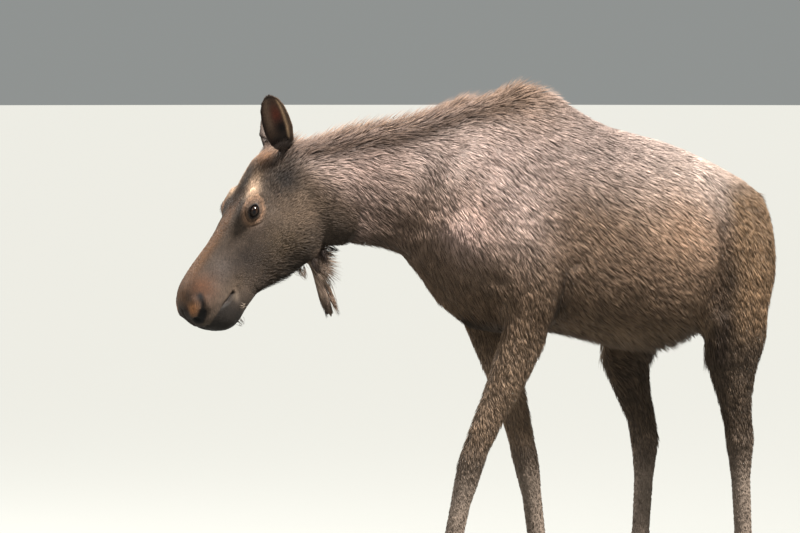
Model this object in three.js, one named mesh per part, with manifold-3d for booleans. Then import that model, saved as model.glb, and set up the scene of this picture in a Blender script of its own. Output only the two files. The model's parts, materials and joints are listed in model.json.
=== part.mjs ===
// A young moose without antlers, standing with its head lowered, as one still life-size body.
// Millimetres. The animal faces -Y, its left side is +X and its soles stand at z = 0.
import * as THREE from "three";
import { LoftGeometry } from "three/addons/geometries/LoftGeometry.js";
import { mergeVertices } from "three/addons/utils/BufferGeometryUtils.js";
import Module from "manifold-3d";

const wasm = await Module();
wasm.setup();

// Driving sizes
const gap = 0.3; // the thin cut that parts one node from the next
const headTilt = 58; // degrees the face line hangs below level
const headOrigin = { y: -770, z: 1480 }; // where the head's own axes start
const eyeRadius = 20;
const eyeSeat = { x: 84, s: 200, t: 98 }; // eye centre, along and above the head axis
const earLength = 225;
const earWidth = 47; // half width at the widest
const earSkin = 6; // thickness of the ear's shell
const coronet = 70; // height of the hairline above each hoof
const clawLength = 118;
const clawWidth = 23; // half width of one claw
const elbowCut = 922; // heights where each leg is parted
const stifleCut = 884;
const kneeCut = 520;
const hockCut = 540;
const fetlockCut = 176;
const bodyFacet = 2; // how far a facet may stand off the true shape
const faceFacet = 1;
const nodeFacet = 1.7;
const chip = 1000; // a cut-off scrap smaller than this is dropped

const radians = (degrees) => (degrees * Math.PI) / 180;
const powered = (value, power) => Math.sign(value) * Math.abs(value) ** power;

// A point of the head, from its distance along the head axis and its height above it.
function headPoint(x, s, t) {
  const a = radians(headTilt);
  return new THREE.Vector3(
    x,
    headOrigin.y - s * Math.cos(a) - t * Math.sin(a),
    headOrigin.z - s * Math.sin(a) + t * Math.cos(a),
  );
}

// One closed section: half width across X, with its own reach above and below the centre.
function ring(centre, tilt, half, above, below, round, points) {
  const a = radians(tilt);
  const up = new THREE.Vector3(0, -Math.sin(a), Math.cos(a));
  const out = [];
  for (let i = 0; i < points; i++) {
    const turn = (i / points) * Math.PI * 2;
    const s = powered(Math.sin(turn), 2 / (s0(turn) ? round : 2.2));
    const c = powered(Math.cos(turn), 2 / (s0(turn) ? round : 2.2));
    const p = centre.clone().addScaledVector(up, s * (s > 0 ? above : below));
    p.x += c * half;
    out.push(p);
  }
  return out;
}
const s0 = (turn) => turn <= Math.PI;

// A geometry as a manifold solid, facing out.
function solid(geometry) {
  const bare = new THREE.BufferGeometry();
  bare.setAttribute("position", geometry.getAttribute("position"));
  bare.setIndex(geometry.getIndex());
  const merged = mergeVertices(bare, 1e-3);
  const index = Array.from(merged.getIndex().array);
  const kept = [];
  for (let i = 0; i < index.length; i += 3) {
    const [a, b, c] = index.slice(i, i + 3);
    if (a !== b && b !== c && c !== a) kept.push(a, b, c);
  }
  const build = (order) =>
    new wasm.Manifold(
      new wasm.Mesh({
        numProp: 3,
        vertProperties: merged.getAttribute("position").array,
        triVerts: new Uint32Array(order),
      }),
    );
  const made = build(kept);
  return made.volume() > 0 ? made : build(kept.toReversed());
}

// A loft through closed sections, with each end drawn in to its own middle.
function loft(rings) {
  const middle = (points) => {
    const sum = new THREE.Vector3();
    for (const p of points) sum.add(p);
    return points.map(() => sum.clone().divideScalar(points.length));
  };
  return solid(new LoftGeometry([middle(rings[0]), ...rings, middle(rings.at(-1))]));
}

// The trunk, neck and head are lofts of sections that are the same on both sides.
// Trunk rows: y, top, bottom, height of the widest part, half width, roundness of the back.
const trunkRows = [
  [-338, 1290, 1190, 1240, 50, 2],
  [-318, 1400, 1130, 1240, 112, 2],
  [-250, 1560, 1042, 1240, 160, 1.9],
  [-160, 1680, 972, 1230, 188, 1.8],
  [-60, 1742, 948, 1220, 204, 1.7],
  [0, 1757, 950, 1215, 212, 1.65],
  [60, 1750, 952, 1215, 218, 1.7],
  [140, 1716, 944, 1215, 227, 1.75],
  [240, 1655, 924, 1215, 238, 1.85],
  [330, 1612, 903, 1215, 246, 1.95],
  [420, 1590, 888, 1215, 249, 2],
  [510, 1568, 884, 1220, 246, 2],
  [600, 1538, 906, 1235, 234, 2],
  [690, 1502, 950, 1250, 218, 2],
  [775, 1462, 1015, 1260, 198, 2.1],
  [850, 1416, 1075, 1260, 170, 2.1],
  [897, 1356, 1130, 1245, 126, 2.1],
  [918, 1290, 1180, 1235, 60, 2],
];
// Neck rows: y and height of the centre line, tilt, half width, half depth, roundness.
const neckRows = [
  [-800, 1450, 30, 84, 120, 2],
  [-711, 1408, 14, 97, 180, 1.9],
  [-620, 1430, 6, 102, 190, 1.8],
  [-518, 1433, 4, 109, 202, 1.75],
  [-411, 1428, 3, 122, 221, 1.7],
  [-318, 1398, 0, 146, 273, 1.7],
  [-200, 1372, 0, 162, 338, 1.75],
  [-90, 1380, 0, 138, 338, 1.7],
  [0, 1380, 0, 60, 260, 1.7],
];
// Head rows: s along the head, top, bottom, level of the widest part, half width, roundness.
const headRows = [
  [-92, 40, -110, -40, 60, 2],
  [-66, 90, -150, -40, 80, 2],
  [-17, 130, -172, -20, 92, 2],
  [49, 148, -186, 0, 96, 2.1],
  [115, 147, -192, 10, 98, 2.2],
  [165, 138, -205, 20, 100, 2.4],
  [205, 137, -196, 30, 101, 2.4],
  [245, 136, -175, 30, 93, 2.3],
  [297, 137, -150, 20, 82, 2.2],
  [345, 141, -116, 15, 73, 2.2],
  [401, 149, -84, 25, 67, 2.3],
  [451, 154, -75, 35, 69, 2.4],
  [496, 152, -73, 42, 76, 2.5],
  [523, 146, -67, 45, 77, 2.5],
  [548, 131, -50, 44, 71, 2.5],
  [568, 112, -20, 46, 60, 2.4],
  [580, 92, 8, 50, 45, 2.3],
  [586, 70, 32, 52, 22, 2],
];

const trunkLoft = loft(
  trunkRows.map(([y, top, low, mid, half, round]) =>
    ring(new THREE.Vector3(0, y, mid), 0, half, top - mid, mid - low, round, 28),
  ),
);
const neckLoft = loft(
  neckRows.map(([y, z, tilt, half, deep, round]) =>
    ring(new THREE.Vector3(0, y, z), tilt, half, deep, deep, round, 24),
  ),
);
const headLoft = loft(
  headRows.map(([s, top, low, mid, half, round]) =>
    ring(headPoint(0, s, mid), headTilt, half, top - mid, mid - low, round, 24),
  ),
);

// Legs follow a smooth path through their joints, with one set of girths for each pair.
const foreJoints = {
  left: [
    [70, 10, 1590],
    [138, -105, 1300],
    [153, -15, 1035],
    [120, -214, 560],
    [110, -318, 145],
    [110, -362, coronet - 14],
  ],
  right: [
    [70, 10, 1590],
    [138, -105, 1300],
    [150, -18, 1035],
    [104, 102, 555],
    [97, 152, 145],
    [97, 116, coronet - 14],
  ],
};
// Girth rows: place along the path, half width, reach forward, reach back.
const foreGirths = [
  [0, 36, 50, 60],
  [0.4, 66, 120, 110],
  [0.75, 70, 196, 150],
  [1.05, 78, 222, 165],
  [1.35, 76, 204, 160],
  [1.6, 71, 168, 142],
  [1.8, 66, 140, 118],
  [2, 59, 112, 94],
  [2.2, 52, 90, 80],
  [2.45, 45, 70, 68],
  [2.7, 39, 56, 54],
  [2.9, 39, 49, 46],
  [3, 42, 50, 46],
  [3.12, 36, 42, 44],
  [3.28, 28, 34, 36],
  [3.6, 25, 31, 35],
  [3.86, 30, 36, 41],
  [4, 36, 42, 47],
  [4.45, 31, 35, 38],
  [4.8, 36, 42, 41],
  [5, 40, 47, 42],
];
const hindJoints = {
  left: [
    [84, 722, 1440],
    [128, 768, 1190],
    [140, 722, 880],
    [124, 762, 590],
    [116, 786, 145],
    [115, 752, coronet - 14],
  ],
  right: [
    [84, 722, 1440],
    [128, 690, 1150],
    [138, 490, 900],
    [122, 552, 585],
    [114, 522, 145],
    [114, 488, coronet - 14],
  ],
};
const hindGirths = [
  [0, 52, 60, 50],
  [0.4, 84, 120, 92],
  [0.8, 100, 150, 118],
  [1.15, 103, 158, 124],
  [1.5, 92, 146, 116],
  [1.8, 76, 124, 128],
  [2, 65, 104, 118],
  [2.25, 53, 81, 93],
  [2.55, 43, 63, 69],
  [2.8, 38, 52, 57],
  [3, 42, 50, 60],
  [3.1, 38, 43, 50],
  [3.28, 27, 34, 36],
  [3.6, 25, 31, 34],
  [3.86, 30, 36, 40],
  [4, 36, 42, 46],
  [4.45, 31, 35, 38],
  [4.8, 36, 42, 41],
  [5, 40, 47, 42],
];

function limb(joints, side, girths) {
  const path = new THREE.CatmullRomCurve3(
    joints.map(([x, y, z]) => new THREE.Vector3(x * side, y, z)),
    false,
    "catmullrom",
    0.5,
  );
  const last = joints.length - 1;
  return loft(
    girths.map(([place, half, front, back]) => {
      const centre = path.getPoint(place / last);
      const tangent = path.getTangent(place / last);
      const lean = THREE.MathUtils.radToDeg(Math.atan2(tangent.y, -tangent.z));
      const level = place === last ? 0 : lean;
      return ring(centre, 90 + level * 0.8, half, front, back, 2.1, 13);
    }),
  );
}

const sides = { left: 1, right: -1 };
const limbs = [];
for (const [name, side] of Object.entries(sides)) {
  limbs.push(limb(foreJoints[name], side, foreGirths));
  limbs.push(limb(hindJoints[name], side, hindGirths));
}

// Two claws and two dewclaws stand under and behind each coronet.
// Claw rows: height, half width share, reach forward, reach back, all shares of the claw.
const clawRows = [
  [coronet - gap / 2, 0.8, 0.3, 0.26],
  [48, 0.95, 0.42, 0.31],
  [22, 1, 0.54, 0.35],
  [6, 1.02, 0.62, 0.38],
  [0, 0.96, 0.6, 0.35],
];
function claw(x, y, splay) {
  const rings = clawRows.map(([z, half, front, back]) =>
    ring(
      new THREE.Vector3(0, 0, z),
      90,
      clawWidth * half,
      clawLength * front,
      clawLength * back,
      2.3,
      12,
    ),
  );
  return loft(rings).rotate([0, 0, splay]).translate([x, y, 0]);
}
function dewclaw(x, y, grow = 0) {
  const shape = new THREE.SphereGeometry(1, 6, 5).scale(11 + grow, 14 + grow, 22 + grow);
  return solid(shape).rotate([24, 0, 0]).translate([x, y, 92]);
}

// An ear is a leaf-shaped cup, open on one side, that stands out from the poll.
// Ear rows: share of its length, half width share, depth behind the rim.
const earRows = [
  [-0.12, 0.5, 30],
  [0.06, 0.64, 32],
  [0.22, 0.86, 32],
  [0.4, 1, 29],
  [0.58, 0.98, 25],
  [0.76, 0.87, 19],
  [0.9, 0.63, 13],
  [1, 0.2, 6],
];
function ear(base, tip, opening) {
  const along = new THREE.Vector3(...tip).normalize();
  const open = new THREE.Vector3(...opening);
  open.addScaledVector(along, -open.dot(along)).normalize();
  const across = new THREE.Vector3().crossVectors(open, along);
  const cup = (thinner, rim, from) =>
    loft(
      earRows.slice(from).map(([place, half, deep]) =>
        ring(
          new THREE.Vector3(0, 0, place * earLength - (place === 1 ? thinner : 0)),
          90,
          Math.max(earWidth * half - thinner, 2),
          rim,
          Math.max(deep - thinner, 2),
          2,
          14,
        ),
      ),
    );
  const shell = cup(0, 7, 0).subtract(cup(earSkin, 40, 1));
  const turn = new THREE.Matrix4().makeBasis(across, open.clone().negate(), along);
  turn.setPosition(new THREE.Vector3(...base));
  return shell.transform(turn.elements);
}
const earBase = { x: 82, y: -846, z: 1536 };
const earTips = { left: [87, -107, 190], right: [-120, 100, 160] };
const earOpenings = { left: [0.88, -0.47, 0], right: [-0.9, -0.4, 0.1] };
const ears = {};
for (const [name, side] of Object.entries(sides)) {
  const base = [side * earBase.x, earBase.y, earBase.z];
  ears[name] = ear(base, earTips[name], earOpenings[name]);
}

// Small masses that round out the head, and the hair-covered flap under the throat.
function blob(centre, tilt, rx, rs, rt, wide = 12, high = 8) {
  const shape = new THREE.SphereGeometry(1, wide, high).scale(rx, rt, rs);
  shape.rotateX(radians(90 + tilt));
  return solid(shape).translate(centre.toArray());
}
const masses = [];
for (const side of Object.values(sides)) {
  masses.push(blob(headPoint(side * 62, 178, 97), headTilt, 36, 78, 38, 10, 7));
  masses.push(blob(new THREE.Vector3(side * 58, -822, 1496), 40, 38, 66, 52, 10, 7));
}
const bell = loft(
  [
    [-722, 1262, 26, 44, 42],
    [-710, 1205, 23, 34, 34],
    [-698, 1160, 19, 27, 30],
    [-682, 1110, 15, 24, 25],
    [-664, 1065, 10, 17, 17],
    [-648, 1026, 5, 7, 7],
  ].map(([y, z, half, front, back]) =>
    ring(new THREE.Vector3(0, y, z), 90, half, front, back, 2, 12),
  ),
);
const tail = loft(
  [
    [862, 1404, 26, 26],
    [896, 1382, 25, 23],
    [921, 1350, 22, 17],
    [931, 1310, 17, 13],
    [931, 1284, 7, 6],
  ].map(([y, z, half, deep]) =>
    ring(new THREE.Vector3(0, y, z), 90, half, deep, deep, 2, 12),
  ),
);

// Eyes sit in round sockets.
const eyeAt = (side, grow) =>
  solid(new THREE.SphereGeometry(eyeRadius + grow, 12, 8)).translate(
    headPoint(side * eyeSeat.x, eyeSeat.s, eyeSeat.t).toArray(),
  );

// The flesh is one closed surface: body and face are joined, and flat runs are merged.
const joined = (pieces) => pieces.reduce((whole, piece) => whole.add(piece));
const body = joined([trunkLoft, neckLoft, ...limbs, bell, tail]).simplify(bodyFacet);
const face = joined([headLoft, ...masses]).simplify(faceFacet);
let flesh = joined([body, face, ears.left, ears.right]);

// Two claws and two dewclaws for each foot, and the eyes, are their own nodes.
const horn = [];
const pockets = []; // hollows cut last, so that a neighbour keeps its gap
const feet = [];
for (const [name, side] of Object.entries(sides)) {
  feet.push([`foreleg_${name}`, side, foreJoints[name]]);
  feet.push([`hindleg_${name}`, side, hindJoints[name]]);
}
for (const [leg, side, joints] of feet) {
  const [x, y] = joints.at(-1);
  for (const [which, out] of [["outer", side], ["inner", -side]]) {
    const at = side * x + out * (clawWidth + 1.6);
    horn.push([`hoof_${leg}_${which}`, claw(at, y + 2, out * 3), "hoof"]);
    const spur = dewclaw(side * x + out * 21, y + 62);
    horn.push([`dewclaw_${leg}_${which}`, spur, "hoof"]);
    pockets.push([`${leg}_pastern`, dewclaw(side * x + out * 21, y + 62, gap)]);
  }
}
for (const [name, side] of Object.entries(sides)) {
  flesh = flesh.subtract(blob(headPoint(side * 64, 560, 64), headTilt, 15, 32, 12, 10, 8));
  horn.push([`eye_${name}`, eyeAt(side, 0), "eye"]);
  pockets.push(["head", eyeAt(side, gap)]);
}

// Thin plates part the flesh into its nodes.
function plate(centre, size, tilt, yaw = 0) {
  const shape = new THREE.BoxGeometry(...size);
  shape.rotateX(radians(tilt));
  shape.rotateZ(radians(yaw));
  return solid(shape).translate(centre);
}
// The mouth line runs back between the lips and then down behind the angle of the jaw.
const mouthLine = [
  [640, -6],
  [440, -2],
  [340, -38],
  [262, -96],
  [228, -260],
];
function mouthPlate() {
  const there = mouthLine.map(([s, t]) => new THREE.Vector2(s, t));
  const back = mouthLine.map(([s, t]) => new THREE.Vector2(s - gap, t + gap)).toReversed();
  const band = new THREE.ExtrudeGeometry(new THREE.Shape([...there, ...back]), {
    depth: 300,
    bevelEnabled: false,
  });
  const along = headPoint(0, 1, 0).sub(headPoint(0, 0, 0));
  const above = headPoint(0, 0, 1).sub(headPoint(0, 0, 0));
  const across = new THREE.Vector3().crossVectors(along, above);
  const frame = new THREE.Matrix4().makeBasis(along, above, across);
  frame.setPosition(headPoint(0, 0, 0).addScaledVector(across, -150));
  return solid(band).transform(frame.elements);
}
function earPlate(side, tip) {
  const along = new THREE.Vector3(...tip).normalize();
  const turn = new THREE.Quaternion().setFromUnitVectors(new THREE.Vector3(0, 0, 1), along);
  const at = new THREE.Vector3(side * earBase.x, earBase.y, earBase.z);
  at.addScaledVector(along, 46);
  const shape = new THREE.CylinderGeometry(58, 58, gap, 20).rotateX(Math.PI / 2);
  shape.applyQuaternion(turn);
  return solid(shape).translate(at.toArray());
}
const cuts = [
  plate([0, -738, 1400], [400, gap, 520], 16),
  plate([0, -262, 1420], [700, gap, 900], -12),
  plate([0, 914, 1366], [84, 90, gap], 14),
  plate([0, -702, 1170], [84, 86, gap], 0),
  plate([0, -35, elbowCut], [520, 320, gap], 0),
  plate([0, 600, stifleCut], [520, 600, gap], 0),
  plate([0, -50, kneeCut], [400, 560, gap], 0),
  plate([0, 650, hockCut], [400, 420, gap], 0),
  plate([0, 200, fetlockCut], [400, 1400, gap], 0),
  mouthPlate(),
  earPlate(1, earTips.left),
  earPlate(-1, earTips.right),
];
for (const cut of cuts) flesh = flesh.subtract(cut);
flesh = flesh.subtract(plate([0, 200, coronet / 2 + gap / 2], [500, 1600, coronet], 0));
const bodies = flesh.decompose().filter((b) => b.volume() > chip);

// Each body of the parted flesh is known by a point that lies inside it.
const inside = [
  ["head", headPoint(0, 200, 40)],
  ["lower_jaw", headPoint(0, 420, -40)],
  ["neck", new THREE.Vector3(0, -520, 1430)],
  ["trunk", new THREE.Vector3(0, 400, 1240)],
  ["tail", new THREE.Vector3(0, 928, 1325)],
  ["bell", new THREE.Vector3(0, -700, 1140)],
];
for (const [name, side] of Object.entries(sides)) {
  const along = new THREE.Vector3(...earTips[name]).normalize();
  const open = new THREE.Vector3(...earOpenings[name]);
  open.addScaledVector(along, -open.dot(along)).normalize();
  const at = new THREE.Vector3(side * earBase.x, earBase.y, earBase.z);
  at.addScaledVector(along, earLength * 0.5).addScaledVector(open, -23);
  inside.push([`ear_${name}`, at]);
}
for (const [leg, side, joints] of feet) {
  const [knee, fetlock, foot] = joints.slice(3).map(
    ([x, y, z]) => new THREE.Vector3(side * x, y, z),
  );
  inside.push([`${leg}_upper`, knee.clone().setZ(knee.z + 40)]);
  inside.push([`${leg}_cannon`, knee.clone().lerp(fetlock, 0.6)]);
  inside.push([`${leg}_pastern`, foot.clone().setZ(coronet + 14)]);
}

const looks = {
  coat: { color: 0x7d6859, roughness: 0.9 },
  hoof: { color: 0x2b2622, roughness: 0.55 },
  eye: { color: 0x120d0a, roughness: 0.1 },
};
const moose = new THREE.Group();
moose.name = "moose";
function addNode(name, shape, look) {
  const mesh = shape.getMesh();
  const geometry = new THREE.BufferGeometry();
  geometry.setAttribute("position", new THREE.BufferAttribute(mesh.vertProperties, 3));
  geometry.setIndex(new THREE.BufferAttribute(mesh.triVerts, 1));
  geometry.computeVertexNormals();
  const node = new THREE.Mesh(geometry, new THREE.MeshStandardMaterial(looks[look]));
  node.name = name;
  moose.add(node);
}
for (const [name, point] of inside) {
  const probe = solid(new THREE.SphereGeometry(2, 6, 4)).translate(point.toArray());
  const found = bodies.find((b) => b.intersect(probe).volume() > 0);
  if (!found) throw new Error(`no body at ${name}`);
  let shape = found.simplify(nodeFacet);
  for (const [owner, pocket] of pockets) {
    if (owner === name) shape = shape.subtract(pocket);
  }
  addNode(name, shape, "coat");
}
if (bodies.length !== inside.length) {
  throw new Error(`${bodies.length} bodies for ${inside.length} names`);
}
for (const [name, shape, look] of horn) addNode(name, shape, look);

// The whole animal is moved along Y so that its bounding box is centred on the origin.
const box = new THREE.Box3().setFromObject(moose);
const middle = box.getCenter(new THREE.Vector3());
for (const node of moose.children) node.geometry.translate(0, -middle.y, 0);

export default moose;
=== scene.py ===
import json
import math
import bmesh
import bpy
import numpy as np
from mathutils import Matrix, Vector
from mathutils.kdtree import KDTree

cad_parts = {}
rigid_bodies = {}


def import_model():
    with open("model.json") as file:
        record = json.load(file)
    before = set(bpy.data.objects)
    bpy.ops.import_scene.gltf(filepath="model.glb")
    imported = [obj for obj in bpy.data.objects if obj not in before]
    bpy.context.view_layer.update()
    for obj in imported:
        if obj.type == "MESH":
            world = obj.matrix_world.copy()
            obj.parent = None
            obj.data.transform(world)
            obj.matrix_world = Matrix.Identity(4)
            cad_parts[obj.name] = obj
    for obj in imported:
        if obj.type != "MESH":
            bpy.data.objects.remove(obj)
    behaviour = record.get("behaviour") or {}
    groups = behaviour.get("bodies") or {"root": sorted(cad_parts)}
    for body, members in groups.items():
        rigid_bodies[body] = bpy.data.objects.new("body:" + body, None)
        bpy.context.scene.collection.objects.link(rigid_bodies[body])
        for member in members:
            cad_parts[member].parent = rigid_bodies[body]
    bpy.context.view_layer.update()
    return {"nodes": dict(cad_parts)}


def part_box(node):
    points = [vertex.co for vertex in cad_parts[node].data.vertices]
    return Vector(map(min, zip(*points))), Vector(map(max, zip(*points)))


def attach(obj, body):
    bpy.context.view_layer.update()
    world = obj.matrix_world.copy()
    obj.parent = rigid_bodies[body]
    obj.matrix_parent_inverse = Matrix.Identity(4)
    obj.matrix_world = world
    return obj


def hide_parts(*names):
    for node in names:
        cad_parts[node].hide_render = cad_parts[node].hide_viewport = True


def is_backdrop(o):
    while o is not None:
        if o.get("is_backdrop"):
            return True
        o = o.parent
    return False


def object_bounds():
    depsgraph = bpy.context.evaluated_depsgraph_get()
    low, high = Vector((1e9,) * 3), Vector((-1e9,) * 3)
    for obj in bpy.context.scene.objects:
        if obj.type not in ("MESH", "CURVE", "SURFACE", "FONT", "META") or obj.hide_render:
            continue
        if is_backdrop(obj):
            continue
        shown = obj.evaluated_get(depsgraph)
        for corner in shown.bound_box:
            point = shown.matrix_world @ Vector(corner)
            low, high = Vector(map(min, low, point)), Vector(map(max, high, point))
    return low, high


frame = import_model()
scene = bpy.context.scene
rng = np.random.default_rng(41)

# Places on the animal are written in metres from the middle of the shoulders.
# Head places run along the face line (s), above it (t) and to the animal's left (x).
place = {"headTilt": math.radians(58), "headY": -0.770, "headZ": 1.480,
         "eye": (0.084, 0.200, 0.098), "lids": (0.096, 0.200, 0.098)}
eyeLow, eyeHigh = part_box("eye_left")
eyeMiddle = (eyeLow + eyeHigh) / 2
cosT, sinT = math.cos(place["headTilt"]), math.sin(place["headTilt"])
shift = eyeMiddle.y - (place["headY"] - place["eye"][1] * cosT - place["eye"][2] * sinT)


def headPoint(x, s, t):
    return np.array([x, place["headY"] + shift - s * cosT - t * sinT,
                     place["headZ"] - s * sinT + t * cosT])


def headCoords(p):
    dy = p[:, 1] - place["headY"] - shift
    dz = p[:, 2] - place["headZ"]
    return -dy * cosT - dz * sinT, -dy * sinT + dz * cosT


def bodyPoint(x, y, z):
    return np.array([x, y + shift, z])


def lineOf(rows, point=bodyPoint):
    return [point(*q) for q in rows]


def smooth(value, low, high):
    k = np.clip((value - low) / (high - low), 0, 1)
    return k * k * (3 - 2 * k)


def lineGap(p, points):
    best = np.full(len(p), 9.0)
    for a, b in zip(points[:-1], points[1:]):
        ab = b - a
        k = np.clip(((p - a) @ ab) / max(ab @ ab, 1e-9), 0, 1)
        best = np.minimum(best, np.linalg.norm(p - a - k[:, None] * ab, axis=1))
    return best


def bothSides(points):
    mirrored = [q * np.array([-1, 1, 1]) for q in points]
    return points, mirrored


def pairGap(p, points):
    # The gap to a line or to its mirror image, whichever is nearer.
    left, right = bothSides(points)
    return np.minimum(lineGap(p, left), lineGap(p, right))


def hump(*rows):
    # 1 where each value is at its middle. A row holds a value, its middle and the width it fades over.
    return np.exp(-sum(((value - middle) / width) ** 2 for value, middle, width in rows))


def unit(v):
    return v / np.linalg.norm(v)


def unitRows(v, least=0.0):
    return v / np.maximum(np.linalg.norm(v, axis=1), least)[:, None]


def meshArrays(mesh):
    co = np.empty(len(mesh.vertices) * 3)
    mesh.vertices.foreach_get("co", co)
    mesh.calc_loop_triangles()
    tri = np.empty(len(mesh.loop_triangles) * 3, np.int32)
    mesh.loop_triangles.foreach_get("vertices", tri)
    edge = np.empty(len(mesh.edges) * 2, np.int32)
    mesh.edges.foreach_get("vertices", edge)
    return co.reshape(-1, 3), tri.reshape(-1, 3), edge.reshape(-1, 2)


def vertexNormals(co, tri):
    face = np.cross(co[tri[:, 1]] - co[tri[:, 0]], co[tri[:, 2]] - co[tri[:, 0]])
    out = np.zeros_like(co)
    for k in range(3):
        for axis in range(3):
            out[:, axis] += np.bincount(tri[:, k], face[:, axis], len(co))
    return unitRows(out, 1e-12)


def relax(co, edge, weight, rounds):
    count = np.bincount(edge[:, 0], minlength=len(co)) + np.bincount(edge[:, 1], minlength=len(co))
    count = np.maximum(count, 1)[:, None]
    for _ in range(rounds):
        total = np.empty_like(co)
        for axis in range(3):
            total[:, axis] = (np.bincount(edge[:, 0], co[edge[:, 1], axis], len(co))
                              + np.bincount(edge[:, 1], co[edge[:, 0], axis], len(co)))
        co = co + (total / count - co) * weight[:, None]
    return co


def newObject(name, data):
    obj = bpy.data.objects.new(name, data)
    scene.collection.objects.link(obj)
    return obj


def finished(obj):
    # The mesh as the modifiers leave it. The object itself goes.
    mesh = bpy.data.meshes.new_from_object(obj.evaluated_get(bpy.context.evaluated_depsgraph_get()))
    bpy.data.objects.remove(obj)
    return mesh


def meshFrom(bm, name):
    mesh = bpy.data.meshes.new(name)
    bm.to_mesh(mesh)
    bm.free()
    return mesh


def remeshed(bm, name, voxel):
    source = newObject(name, meshFrom(bm, name))
    remesh = source.modifiers.new("remesh", "REMESH")
    remesh.mode = "VOXEL"
    remesh.voxel_size = voxel
    return finished(source)


def setPoints(mesh, co):
    mesh.vertices.foreach_set("co", co.ravel())
    mesh.update()


def shadeSmooth(mesh):
    for poly in mesh.polygons:
        poly.use_smooth = True


# Region masks, shared by the skin's depth, the coat's length and the markings with their painted light.
crest = [headPoint(0, -0.03, 0.10)]
crest += lineOf([(0, -0.70, 1.60), (0, -0.55, 1.62), (0, -0.42, 1.64), (0, -0.31, 1.665), (0, -0.20, 1.70),
                 (0, -0.06, 1.74), (0, 0.07, 1.74)])
throatLine = lineOf([(0, -0.72, 1.22), (0, -0.50, 1.22)])
bellLine = lineOf([(0, -0.716, 1.23), (0, -0.69, 1.14), (0, -0.66, 1.05), (0, -0.65, 1.02)])
earParts = {1: (bodyPoint(0.082, -0.846, 1.536), np.array([87, -107, 190.0]), np.array([0.88, -0.47, 0])),
            -1: (bodyPoint(-0.082, -0.846, 1.536), np.array([-120, 100, 160.0]), np.array([-0.9, -0.4, 0.1]))}
earLength = 0.225
earHalf = {"at": [0.06, 0.22, 0.4, 0.58, 0.76, 0.9, 1],
           "width": [0.030, 0.040, 0.047, 0.046, 0.041, 0.030, 0.01]}


def earFrame(side):
    base, along, opening = earParts[side]
    along = unit(along)
    return base, along, unit(opening - along * (opening @ along))


def earPlace(p):
    # How far along an ear a point is, or -1 away from the ears, and its place across the opening.
    far = np.full(len(p), -1.0)
    across = np.zeros(len(p))
    for side in (1, -1):
        base, along, opening = earFrame(side)
        rel = p - base
        up = rel @ along
        off = np.linalg.norm(rel - up[:, None] * along, axis=1)
        inside = (up > 0.012) & (up < 0.25) & (off < 0.056) & (p[:, 0] * side > 0)
        far = np.where(inside, up / earLength, far)
        half = np.interp(up / earLength, earHalf["at"], earHalf["width"])
        across = np.where(inside, rel @ np.cross(along, opening) * side / half, across)
    return far, across


def regions(p):
    s, t = headCoords(p)
    x = np.abs(p[:, 0])
    z = p[:, 2]
    y = p[:, 1] - shift
    far, across = earPlace(p)
    ear = smooth(far, 0.06, 0.17)
    headAxis = smooth(s, -0.04, 0.10) * (y < -0.60) * (1 - ear)
    face = smooth(s, 0.10, 0.26) * (y < -0.70) * (1 - ear)
    muzzle = smooth(s, 0.40, 0.50) * (y < -0.80)
    mane = hump((lineGap(p, crest), 0, 0.062)) * (1 - face) * (1 - ear)
    bell = hump((lineGap(p, bellLine), 0, 0.04)) * (z < 1.235)
    lower = 1 - smooth(z, 0.46, 0.66)
    upper = (1 - smooth(z, 0.86, 1.02)) * (1 - lower)
    belly = hump((z, 0.90, 0.07)) * smooth(y, 0.02, 0.14) * (1 - smooth(y, 0.66, 0.78))
    belly = belly * (1 - smooth(x, 0.17, 0.25)) * smooth(z, 0.86, 0.875)
    tail = smooth(y, 0.885, 0.905) * (x < 0.06) * (z > 1.26) * (z < 1.42)
    jaw = hump((t, -0.10, 0.05)) * smooth(s, 0.12, 0.2) * (1 - smooth(s, 0.36, 0.44)) * (y < -0.72)
    throat = hump((lineGap(p, throatLine), 0, 0.07))
    return dict(s=s, t=t, x=x, y=y, z=z, ear=ear, earAt=far, earAcross=across, head=headAxis, face=face,
                muzzle=muzzle, mane=mane, bell=bell, lower=lower, upper=upper, belly=belly, tail=tail,
                jaw=jaw, throat=throat)


def blendUp(r, base, **steps):
    # Starts from one value and moves to each next one where its mask is strong.
    out = np.full(len(r["s"]), float(base))
    for mask, value in steps.items():
        k = np.clip(r[mask], 0, 1)
        out = out * (1 - k) + value * k
    return out


# The skin: the flesh solids closed into one surface, smoothed, shaped and let in by the coat's depth.
skinSet = {"voxel": 0.0040, "rounds": 90, "throatRounds": 70, "triangles": 188000, "earRoot": 0.036,
           "footTop": 0.125, "hairline": 0.115, "footDepth": 0.0022, "depthSteps": 4}
fleshNames = [n for n in frame["nodes"] if not n.startswith(("hoof", "dewclaw", "eye"))]


def closedFlesh():
    bm = bmesh.new()
    for name in fleshNames + ["eye_left", "eye_right"]:
        bm.from_mesh(frame["nodes"][name].data)
    for side in (1, -1):
        base, along, opening = earFrame(side)
        low = Matrix.Translation(Vector(base - along * 0.024 - opening * 0.018))
        bmesh.ops.create_icosphere(bm, subdivisions=3, radius=skinSet["earRoot"], matrix=low)
    bmesh.ops.remove_doubles(bm, verts=bm.verts, dist=0.00001)
    return remeshed(bm, "fleshSource", skinSet["voxel"])


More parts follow.
